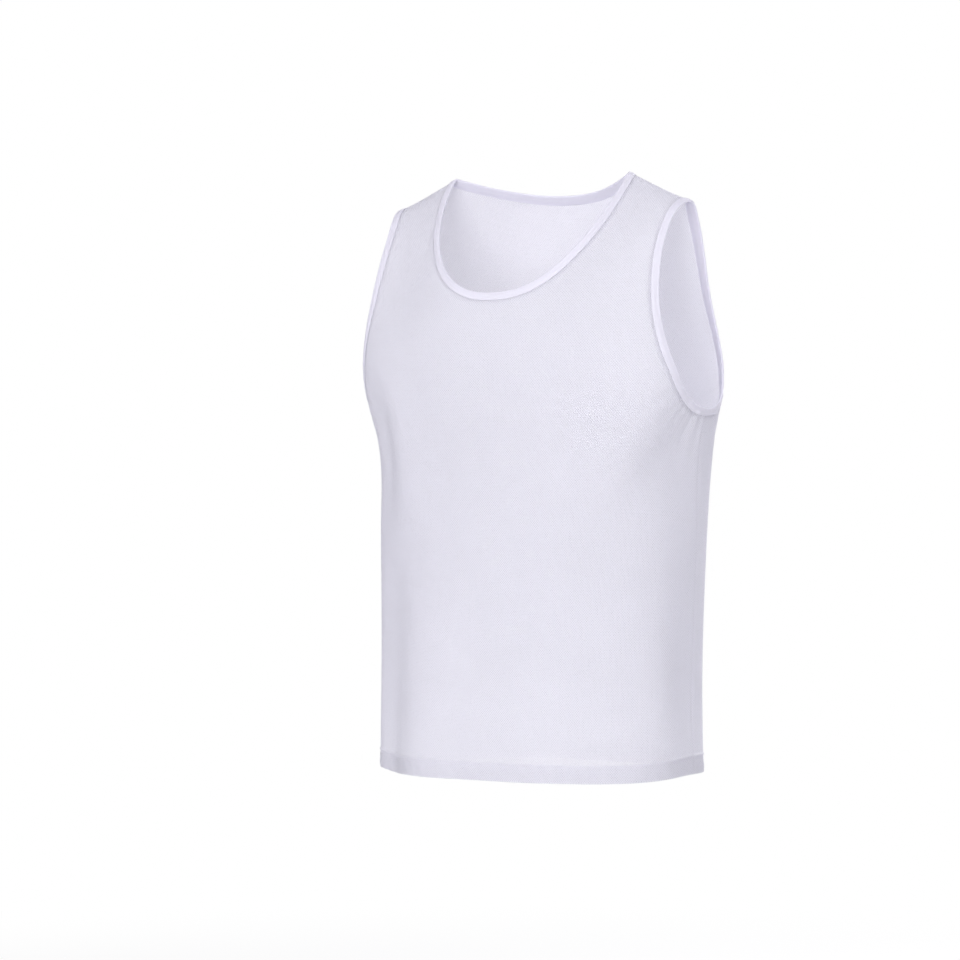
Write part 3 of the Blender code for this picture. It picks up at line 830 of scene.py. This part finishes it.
def thin_cloth(material, shader, colour, normal, share):
    """Lets a share of the light through a shader's cloth, and gives back the mixed shader."""
    nodes = material.node_tree.nodes
    links = material.node_tree.links
    through = nodes.new("ShaderNodeBsdfTranslucent")
    links.new(colour, through.inputs["Color"])
    links.new(normal, through.inputs["Normal"])
    thin = nodes.new("ShaderNodeMixShader")
    thin.inputs["Fac"].default_value = share
    links.new(shader.outputs["BSDF"], thin.inputs[1])
    links.new(through.outputs["BSDF"], thin.inputs[2])
    return thin.outputs["Shader"]


def mesh_knit(name, lets_through):
    """Matt polyester with a faint sheen, open through its holes."""
    material = bpy.data.materials.new(name)
    material.use_nodes = True
    nodes = material.node_tree.nodes
    links = material.node_tree.links
    shader = nodes["Principled BSDF"]
    shader.inputs["Roughness"].default_value = 0.72
    shader.inputs["Sheen Weight"].default_value = 0.12
    shader.inputs["Sheen Roughness"].default_value = 0.45
    shader.inputs["Specular IOR Level"].default_value = 0.30
    pattern = nodes.new("ShaderNodeUVMap")
    pattern.uv_map = "cloth"
    holes = nodes.new("ShaderNodeGroup")
    holes.node_tree = open_mesh
    holes.inputs["Pitch"].default_value = HOLE_PITCH
    holes.inputs["Hole Radius"].default_value = HOLE_RADIUS
    holes.inputs["Yarn Pitch"].default_value = YARN_PITCH
    links.new(pattern.outputs["UV"], holes.inputs["Pattern"])
    cloud = nodes.new("ShaderNodeTexNoise")
    cloud.inputs["Scale"].default_value = 9.0
    cloud.inputs["Detail"].default_value = 3.0
    links.new(pattern.outputs["UV"], cloud.inputs["Vector"])
    tone = nodes.new("ShaderNodeMapRange")
    tone.inputs["To Min"].default_value = MESH_TONES[0]
    tone.inputs["To Max"].default_value = MESH_TONES[1]
    links.new(cloud.outputs["Fac"], tone.inputs["Value"])
    # painted light: the hem's band is lightened for the light sent back by the layer behind it
    doubled = nodes.new("ShaderNodeAttribute")
    doubled.attribute_name = "hem_band"
    painted_light = math_node(nodes, links, "MULTIPLY", doubled.outputs["Fac"], HEM_PAINTED_LIGHT)
    lightness = math_node(nodes, links, "ADD", painted_light, tone.outputs["Result"])
    colour = nodes.new("ShaderNodeMix")
    colour.data_type = "RGBA"
    colour.inputs["A"].default_value = (*MESH_COLOUR, 1.0)
    colour.inputs["B"].default_value = (*MESH_RIM_PAINTED_SHADE, 1.0)
    # the holes' rims are painted darker, as shade in the dip round each hole
    links.new(holes.outputs["Painted Shade"], colour.inputs["Factor"])
    shaded = nodes.new("ShaderNodeVectorMath")
    shaded.operation = "SCALE"
    links.new(colour.outputs["Result"], shaded.inputs[0])
    links.new(lightness, shaded.inputs["Scale"])
    links.new(shaded.outputs["Vector"], shader.inputs["Base Color"])
    bump = nodes.new("ShaderNodeBump")
    bump.inputs["Strength"].default_value = 0.5
    bump.inputs["Distance"].default_value = 0.0003
    links.new(holes.outputs["Height"], bump.inputs["Height"])
    links.new(bump.outputs["Normal"], shader.inputs["Normal"])
    thin = thin_cloth(
        material, shader, shaded.outputs["Vector"], bump.outputs["Normal"], lets_through
    )
    nothing = nodes.new("ShaderNodeBsdfTransparent")
    opened = nodes.new("ShaderNodeMixShader")
    links.new(holes.outputs["Hole"], opened.inputs["Fac"])
    links.new(thin, opened.inputs[1])
    links.new(nothing.outputs["BSDF"], opened.inputs[2])
    links.new(opened.outputs["Shader"], nodes["Material Output"].inputs["Surface"])
    return material


panel_knit = mesh_knit("mesh_knit_panel", MESH_LETS_THROUGH)
for name, side in (("front_panel", FRONT), ("back_panel", BACK)):
    panel, spots, triangles = cut_panel(name + "_cloth", side, panel_knit)
    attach(panel, "root")
    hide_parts(name)

# ---------------------------------------------------------------------------------------------
# Hem
# The lower edge of both panels, turned up inside by 20 mm all round and stitched down. This piece
# is the fold and the layer inside, in the same mesh knit. Painted light lightens the panels'
# colour over the band that it backs.
# ---------------------------------------------------------------------------------------------

HEM_AIR = 0.0001               # between the panel and the layer turned up inside it
FOLD_RADIUS = MESH_THICKNESS + HEM_AIR / 2
FOLD_STEPS = 6
HEM_INNER_ROWS = 8
HEM_LETS_THROUGH = 0.30        # lower than the panels', as its layers are pressed together


def ring(name, edge, outline, material):
    """A strip that follows a closed edge, and its length. The outline is the strip cut across, as
    places of (width in from the edge, stand-off).
    """
    count = len(edge.girth)
    corners = []
    for width, stand_off in outline:
        outer, normal = edge.points(width)
        corners.append(outer + stand_off * normal)
    middle = np.mean(corners, axis=0)
    steps = np.linalg.norm(np.roll(middle, -1, axis=0) - middle, axis=1)
    along = np.concatenate(([0.0], np.cumsum(steps)))
    outline = np.array(outline)
    spans = np.linalg.norm(np.roll(outline, -1, axis=0) - outline, axis=1)
    across = np.concatenate(([0.0], np.cumsum(spans)))
    faces = []
    uv = []
    for c in range(len(outline)):
        d = (c + 1) % len(outline)
        for k in range(count):
            n = (k + 1) % count
            faces.append((c * count + k, c * count + n, d * count + n, d * count + k))
            uv += [
                (along[k], across[c]),
                (along[k + 1], across[c]),
                (along[k + 1], across[c + 1]),
                (along[k], across[c + 1]),
            ]
    points = np.concatenate(corners)
    quads = points[np.array(faces)]
    halves = np.cross(quads[:, 1], quads[:, 2]) + np.cross(quads[:, 2], quads[:, 3])
    if np.sum(quads[:, 0] * halves) < 0:     # the volume is negative: the faces point inwards
        faces = [face[::-1] for face in faces]
        uv = np.reshape(uv, (-1, 4, 2))[:, ::-1]
    return finished(name, points, faces, uv, material), float(along[-1])


def arc(centre_width, centre_stand, radius, steps):
    """Round the fold, from the outer face to the inner one."""
    angles = np.linspace(0.0, math.pi, steps + 1)
    return [
        (centre_width - radius * math.sin(a), centre_stand + radius * math.cos(a)) for a in angles
    ]


hem_inner_face = -2 * FOLD_RADIUS
hem_outline = [(RAW_EDGE, 0.0)]
hem_outline += arc(FOLD_RADIUS, -FOLD_RADIUS, FOLD_RADIUS, FOLD_STEPS)
hem_outline += [
    (width, hem_inner_face) for width in np.linspace(RAW_EDGE, HEM_DEPTH, HEM_INNER_ROWS)
]
hem_outline += [
    (width, hem_inner_face + MESH_THICKNESS)
    for width in np.linspace(HEM_DEPTH, RAW_EDGE, HEM_INNER_ROWS)
]
hem_outline += [(FOLD_RADIUS, -MESH_THICKNESS - HEM_AIR), (FOLD_RADIUS, -MESH_THICKNESS)]
hem_outline += [(RAW_EDGE, -MESH_THICKNESS)]

hem_knit = mesh_knit("mesh_knit_hem", HEM_LETS_THROUGH)
hem, hem_length = ring("hem_cloth", hem_edge, hem_outline, hem_knit)
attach(hem, "root")
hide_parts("hem")

# ---------------------------------------------------------------------------------------------
# Neck and armhole bindings
# Strips of smooth rib knit, folded lengthwise over the raw edges and sewn down with two needles.
# They are denser and whiter than the mesh, and stand a little proud of it.
# ---------------------------------------------------------------------------------------------

BINDING_THICKNESS = 0.0007
BINDING_AIR = 0.0002
BINDING_OUTSIDE = 0.0090
BINDING_INSIDE = 0.0120
BINDING_TOP = BINDING_AIR + BINDING_THICKNESS
BINDING_UNDER = -MESH_THICKNESS - BINDING_AIR
BINDING_BOTTOM = BINDING_UNDER - BINDING_THICKNESS
BINDING_FOLD_STEPS = 8
NEEDLE_LINES = (0.0024, 0.0070)              # widths of the two rows of stitches
NEEDLE_GROOVE = 0.00018
GROOVE_HALF_WIDTH = 0.0006
GROOVE_LIP = 0.00005
PUFF = 0.00020                               # between the two rows
PUFF_HALF_WIDTH = 0.0008
FOLD_FLATTENING = 0.00003
OUTER_ROUNDING = ((0.0006, 0.00005), (0.0001, 0.00030))  # back from the outer edge, and down
INNER_ROUNDING = (0.0003, 0.0002)
BINDING_COLOUR = (0.900, 0.888, 0.962)
# the troughs of ribs and courses are painted this darker colour as shade, and the fuzz's uneven
# tone reaches it too
BINDING_PAINTED_SHADE_AND_FUZZ = (0.855, 0.840, 0.925)
RIB_PITCH = 0.0011
RIB_HEIGHT = 0.5
COURSE_PITCH = 0.7 * RIB_PITCH
COURSE_HEIGHT = 0.2
RIB_FUZZ = 1.2
RIB_LETS_THROUGH = 0.36


def binding_outline():
    """The folded strip cut across: the fold, the outer layer and the inner layer."""
    radius = (BINDING_TOP - BINDING_BOTTOM) / 2
    middle = (BINDING_TOP + BINDING_BOTTOM) / 2
    first, second = NEEDLE_LINES
    between = (first + second) / 2
    outline = arc(radius, middle, radius, BINDING_FOLD_STEPS)[::-1]
    outline += [
        (first - GROOVE_HALF_WIDTH, BINDING_TOP - FOLD_FLATTENING),
        (first, BINDING_TOP - NEEDLE_GROOVE),
        (first + GROOVE_HALF_WIDTH, BINDING_TOP + GROOVE_LIP),
        (between - PUFF_HALF_WIDTH, BINDING_TOP + PUFF),
        (between + PUFF_HALF_WIDTH, BINDING_TOP + PUFF),
        (second - GROOVE_HALF_WIDTH, BINDING_TOP + GROOVE_LIP),
        (second, BINDING_TOP - NEEDLE_GROOVE),
        (second + GROOVE_HALF_WIDTH, BINDING_TOP),
    ]
    outline += [(BINDING_OUTSIDE - back, BINDING_TOP - down) for back, down in OUTER_ROUNDING]
    outline += [
        (BINDING_OUTSIDE, BINDING_AIR),
        (RAW_EDGE - BINDING_AIR, BINDING_AIR),
        (RAW_EDGE - BINDING_AIR, BINDING_UNDER),
        (BINDING_OUTSIDE / 2, BINDING_UNDER),
        (BINDING_INSIDE, BINDING_UNDER),
        (BINDING_INSIDE, BINDING_BOTTOM + INNER_ROUNDING[1]),
        (BINDING_INSIDE - INNER_ROUNDING[0], BINDING_BOTTOM),
        (BINDING_INSIDE / 2, BINDING_BOTTOM),
    ]
    return outline[::-1]


def rib_knit(name):
    """Smooth dense knit, with fine ribs across the strip, courses along it and a soft fuzz. Its
    colour is darker in the troughs of ribs and courses as painted shade, and the fuzz makes its
    tone uneven.
    """
    material = bpy.data.materials.new(name)
    material.use_nodes = True
    nodes = material.node_tree.nodes
    links = material.node_tree.links
    shader = nodes["Principled BSDF"]
    shader.inputs["Roughness"].default_value = 0.62
    shader.inputs["Sheen Weight"].default_value = 0.20
    shader.inputs["Sheen Roughness"].default_value = 0.40
    shader.inputs["Specular IOR Level"].default_value = 0.35
    pattern = nodes.new("ShaderNodeUVMap")
    pattern.uv_map = "cloth"
    split = nodes.new("ShaderNodeSeparateXYZ")
    links.new(pattern.outputs["UV"], split.inputs["Vector"])

    def step(operation, first, second=None):
        return math_node(nodes, links, operation, first, second)

    def wave(axis, pitch, size):
        turn = step("MULTIPLY", split.outputs[axis], math.tau / pitch)
        return step("MULTIPLY", step("SINE", turn), size)

    height = step("ADD", wave("X", RIB_PITCH, RIB_HEIGHT), wave("Y", COURSE_PITCH, COURSE_HEIGHT))
    fuzz = nodes.new("ShaderNodeTexNoise")
    fuzz.inputs["Scale"].default_value = 260.0
    fuzz.inputs["Detail"].default_value = 2.0
    links.new(pattern.outputs["UV"], fuzz.inputs["Vector"])
    uneven = step("MULTIPLY", step("SUBTRACT", fuzz.outputs["Fac"], 0.5), RIB_FUZZ)
    share = nodes.new("ShaderNodeMapRange")
    share.inputs["From Min"].default_value = -RIB_FUZZ
    share.inputs["From Max"].default_value = RIB_FUZZ
    links.new(step("ADD", height, uneven), share.inputs["Value"])
    # painted shade in the troughs of ribs and courses, mixed with the fuzz's uneven tone
    colour = nodes.new("ShaderNodeMix")
    colour.data_type = "RGBA"
    colour.inputs["A"].default_value = (*BINDING_PAINTED_SHADE_AND_FUZZ, 1.0)
    colour.inputs["B"].default_value = (*BINDING_COLOUR, 1.0)
    links.new(share.outputs["Result"], colour.inputs["Factor"])
    links.new(colour.outputs["Result"], shader.inputs["Base Color"])
    bump = nodes.new("ShaderNodeBump")
    bump.inputs["Strength"].default_value = 0.4
    bump.inputs["Distance"].default_value = 0.00015
    links.new(height, bump.inputs["Height"])
    links.new(bump.outputs["Normal"], shader.inputs["Normal"])
    thin = thin_cloth(
        material, shader, colour.outputs["Result"], bump.outputs["Normal"], RIB_LETS_THROUGH
    )
    links.new(thin, nodes["Material Output"].inputs["Surface"])
    return material


binding_knit = rib_knit("rib_knit_binding")
bound_edges = (
    ("neck_binding", neck_edge),
    ("armhole_binding_left", armhole_edges[1]),
    ("armhole_binding_right", armhole_edges[-1]),
)
for name, edge in bound_edges:
    strip, strip_length = ring(name + "_cloth", edge, binding_outline(), binding_knit)
    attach(strip, "root")
    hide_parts(name)

# ---------------------------------------------------------------------------------------------
# Stitches
# White polyester thread. Two needles run along each binding and along the top of the hem, and the
# threads lie in the shallow grooves that they pull into the cloth.
# ---------------------------------------------------------------------------------------------

STITCH_PITCH = 0.0030
STITCH_LENGTH = 0.0025
THREAD_RADIUS = 0.00020
THREAD_HEIGHT = 0.00008        # of the thread's middle above the cloth
STITCH_SIDES = 6
HEM_NEEDLE_LINES = (0.0174, 0.0196)

# From one end of a stitch to the other: place in stitch lengths, size and lift in thread radii.
STITCH_RINGS = (
    (-0.50, 0.35, -1.0),
    (-0.36, 0.90, -0.1),
    (0.00, 1.00, 0.2),
    (0.36, 0.90, -0.1),
    (0.50, 0.35, -1.0),
)
THREAD_COLOUR = (0.860, 0.850, 0.930)
THREAD_SHADE = (0.790, 0.780, 0.870)


def thread(name):
    """Twisted thread, a little glossier than the knit."""
    material = bpy.data.materials.new(name)
    material.use_nodes = True
    nodes = material.node_tree.nodes
    links = material.node_tree.links
    shader = nodes["Principled BSDF"]
    shader.inputs["Roughness"].default_value = 0.45
    shader.inputs["Sheen Weight"].default_value = 0.20
    where = nodes.new("ShaderNodeTexCoord")
    twist = nodes.new("ShaderNodeTexNoise")
    twist.inputs["Scale"].default_value = 900.0
    links.new(where.outputs["Object"], twist.inputs["Vector"])
    colour = nodes.new("ShaderNodeMix")
    colour.data_type = "RGBA"
    colour.inputs["A"].default_value = (*THREAD_SHADE, 1.0)
    colour.inputs["B"].default_value = (*THREAD_COLOUR, 1.0)
    links.new(twist.outputs["Fac"], colour.inputs["Factor"])
    links.new(colour.outputs["Result"], shader.inputs["Base Color"])
    return material


def stitch_rows(name, rows, material):
    """Short raised threads along closed rows. A row is (points, normals)."""
    points = []
    faces = []
    for line, normal in rows:
        steps = np.linalg.norm(np.roll(line, -1, axis=0) - line, axis=1)
        length = np.concatenate(([0.0], np.cumsum(steps)))
        closed = np.concatenate((line, line[:1]))
        outward = np.concatenate((normal, normal[:1]))
        count = round(length[-1] / STITCH_PITCH)
        pitch = length[-1] / count

        def at(distance, values):
            distance = distance % length[-1]
            return np.stack([np.interp(distance, length, values[:, k]) for k in range(3)], -1)

        middles = (np.arange(count) + 0.5) * pitch
        start = at(middles - STITCH_LENGTH / 2, closed)
        end = at(middles + STITCH_LENGTH / 2, closed)
        middle = at(middles, closed)
        out = unit(at(middles, outward))
        ahead = unit(end - start)
        aside = unit(np.cross(ahead, out))
        for number in range(count):
            first = len(points)
            for share, size, lift in STITCH_RINGS:
                centre = middle[number] + share * STITCH_LENGTH * ahead[number]
                centre = centre + (THREAD_HEIGHT + lift * THREAD_RADIUS) * out[number]
                for corner in range(STITCH_SIDES):
                    angle = math.tau * corner / STITCH_SIDES
                    spread = math.cos(angle) * aside[number] + math.sin(angle) * out[number]
                    points.append(centre + size * THREAD_RADIUS * spread)
            low = first
            for _ in STITCH_RINGS[1:]:
                high = low + STITCH_SIDES
                for corner in range(STITCH_SIDES):
                    beside_it = (corner + 1) % STITCH_SIDES
                    faces.append((low + corner, high + corner, high + beside_it, low + beside_it))
                low = high
            faces.append(tuple(first + corner for corner in range(STITCH_SIDES)))
            faces.append(tuple(low + corner for corner in reversed(range(STITCH_SIDES))))
    uv = np.zeros((sum(len(face) for face in faces), 2))
    return finished(name, np.array(points), faces, uv, material)


white_thread = thread("polyester_thread")
for name, edge in bound_edges:
    rows = []
    for width in NEEDLE_LINES:
        outer, normal = edge.points(width)
        rows.append((outer + (BINDING_TOP - NEEDLE_GROOVE) * normal, normal))
    stitches = stitch_rows(name + "_stitches", rows, white_thread)
    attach(stitches, "root")

hem_rows = [hem_edge.points(width) for width in HEM_NEEDLE_LINES]
hem_stitches = stitch_rows("hem_stitches", hem_rows, white_thread)
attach(hem_stitches, "root")

# ---------------------------------------------------------------------------------------------
# Studio
# A plain pale floor that fades into a white room, three soft lights in front, above and behind,
# and a camera at the photograph's angle. The room lights the cloth less from the sides.
# ---------------------------------------------------------------------------------------------

FLOOR_HEIGHT = -1.42
FLOOR_RADIUS = 7.0
FLOOR_SIDES = 128
FLOOR_COLOUR = (0.90, 0.90, 0.91)
FLOOR_FADE = (1.5, 3.8)        # it turns from its own colour to glowing white between these
BLACK = (0.0, 0.0, 0.0)
WHITE = (1.0, 1.0, 1.0)

bpy.ops.object.select_all(action="DESELECT")
bpy.ops.mesh.primitive_circle_add(
    vertices=FLOOR_SIDES, radius=FLOOR_RADIUS, fill_type="NGON", location=(0, 0, FLOOR_HEIGHT)
)
floor = bpy.context.object
floor.name = "studio_floor"
bpy.ops.object.transform_apply(location=True, rotation=True, scale=True)
floor_material = bpy.data.materials.new("studio_floor")
floor_material.use_nodes = True
nodes = floor_material.node_tree.nodes
links = floor_material.node_tree.links
shader = nodes["Principled BSDF"]
shader.inputs["Roughness"].default_value = 0.9
shader.inputs["Specular IOR Level"].default_value = 0.0
shader.inputs["Emission Strength"].default_value = 1.0
where = nodes.new("ShaderNodeTexCoord")
size = nodes.new("ShaderNodeVectorMath")
size.operation = "LENGTH"
links.new(where.outputs["Object"], size.inputs[0])
fade = nodes.new("ShaderNodeMapRange")
fade.interpolation_type = "SMOOTHSTEP"
fade.inputs["From Min"].default_value = FLOOR_FADE[0]
fade.inputs["From Max"].default_value = FLOOR_FADE[1]
links.new(size.outputs["Value"], fade.inputs["Value"])
for socket, near, far in (("Base Color", FLOOR_COLOUR, BLACK), ("Emission Color", BLACK, WHITE)):
    mix = nodes.new("ShaderNodeMix")
    mix.data_type = "RGBA"
    mix.inputs["A"].default_value = (*near, 1.0)
    mix.inputs["B"].default_value = (*far, 1.0)
    links.new(fade.outputs["Result"], mix.inputs["Factor"])
    links.new(mix.outputs["Result"], shader.inputs[socket])
floor.data.materials.append(floor_material)

ROOM_LIGHT = 0.68
ROOM_LIGHT_AT_RIGHT = 0.06     # the room is darker at both sides, most on the wearer's right
ROOM_LIGHT_AT_LEFT = 0.27
ROOM_TINT = (0.955, 0.950, 1.0)

world = bpy.data.worlds.new("studio")
bpy.context.scene.world = world
world.use_nodes = True
nodes = world.node_tree.nodes
links = world.node_tree.links
nodes.clear()
output = nodes.new("ShaderNodeOutputWorld")
seen = nodes.new("ShaderNodeBackground")
seen.inputs["Color"].default_value = (*WHITE, 1.0)
seen.inputs["Strength"].default_value = 1.0
lighting = nodes.new("ShaderNodeBackground")
lighting.inputs["Color"].default_value = (*ROOM_TINT, 1.0)
where = nodes.new("ShaderNodeTexCoord")
split = nodes.new("ShaderNodeSeparateXYZ")
links.new(where.outputs["Generated"], split.inputs["Vector"])
side_light = nodes.new("ShaderNodeFloatCurve")
curve = side_light.mapping.curves[0]
curve.points[0].location = (0.0, ROOM_LIGHT_AT_RIGHT)
curve.points[1].location = (1.0, ROOM_LIGHT_AT_LEFT)
curve.points.new(0.5, ROOM_LIGHT)
side_light.mapping.update()
halved = math_node(nodes, links, "MULTIPLY", split.outputs["X"], 0.5)
from_right = math_node(nodes, links, "ADD", halved, 0.5)
links.new(from_right, side_light.inputs["Value"])
links.new(side_light.outputs["Value"], lighting.inputs["Strength"])
path = nodes.new("ShaderNodeLightPath")
choose = nodes.new("ShaderNodeMixShader")
links.new(path.outputs["Is Camera Ray"], choose.inputs["Fac"])
links.new(lighting.outputs["Background"], choose.inputs[1])
links.new(seen.outputs["Background"], choose.inputs[2])
links.new(choose.outputs["Shader"], output.inputs["Surface"])

BIB_MIDDLE = Vector((0.0, 0.0, -0.34))
LIGHT_DISTANCE = 3.2
LIGHT_COLOUR = (1.0, 0.995, 0.985)


def soft_light(name, azimuth, elevation, size, power):
    """A square area light, in degrees round from the front and up, aimed at the bib."""
    lamp = bpy.data.lights.new(name, "AREA")
    lamp.shape = "SQUARE"
    lamp.size = size
    lamp.energy = power
    lamp.color = LIGHT_COLOUR
    light = bpy.data.objects.new(name, lamp)
    bpy.context.scene.collection.objects.link(light)
    turn = math.radians(azimuth)
    rise = math.radians(elevation)
    level = Vector((math.sin(turn), -math.cos(turn), 0.0))
    towards = math.cos(rise) * level + Vector((0.0, 0.0, math.sin(rise)))
    light.location = BIB_MIDDLE + LIGHT_DISTANCE * towards
    light.rotation_mode = "QUATERNION"
    light.rotation_quaternion = (-towards).to_track_quat("-Z", "Y")
    light.visible_camera = False


soft_light("key_light", azimuth=13.0, elevation=3.0, size=1.5, power=53.0)
soft_light("top_light", azimuth=20.0, elevation=62.0, size=1.8, power=28.0)
soft_light("back_light", azimuth=168.0, elevation=24.0, size=2.4, power=84.0)

CAMERA_AZIMUTH = math.radians(31.0)
CAMERA_DISTANCE = 3.5
CAMERA_HEIGHT = -0.245
AIM = Vector((-0.0602, -0.0362, -0.3478))
LENS_MM = 114.8
SENSOR_MM = 36.0

camera_data = bpy.data.cameras.new("camera")
camera_data.sensor_width = SENSOR_MM
camera_data.lens = LENS_MM
camera = bpy.data.objects.new("camera", camera_data)
bpy.context.scene.collection.objects.link(camera)
camera.location = (
    CAMERA_DISTANCE * math.sin(CAMERA_AZIMUTH),
    -CAMERA_DISTANCE * math.cos(CAMERA_AZIMUTH),
    CAMERA_HEIGHT,
)
camera.rotation_mode = "QUATERNION"
camera.rotation_quaternion = (AIM - camera.location).to_track_quat("-Z", "Y")
bpy.context.scene.camera = camera
bpy.context.scene.view_settings.view_transform = "Standard"
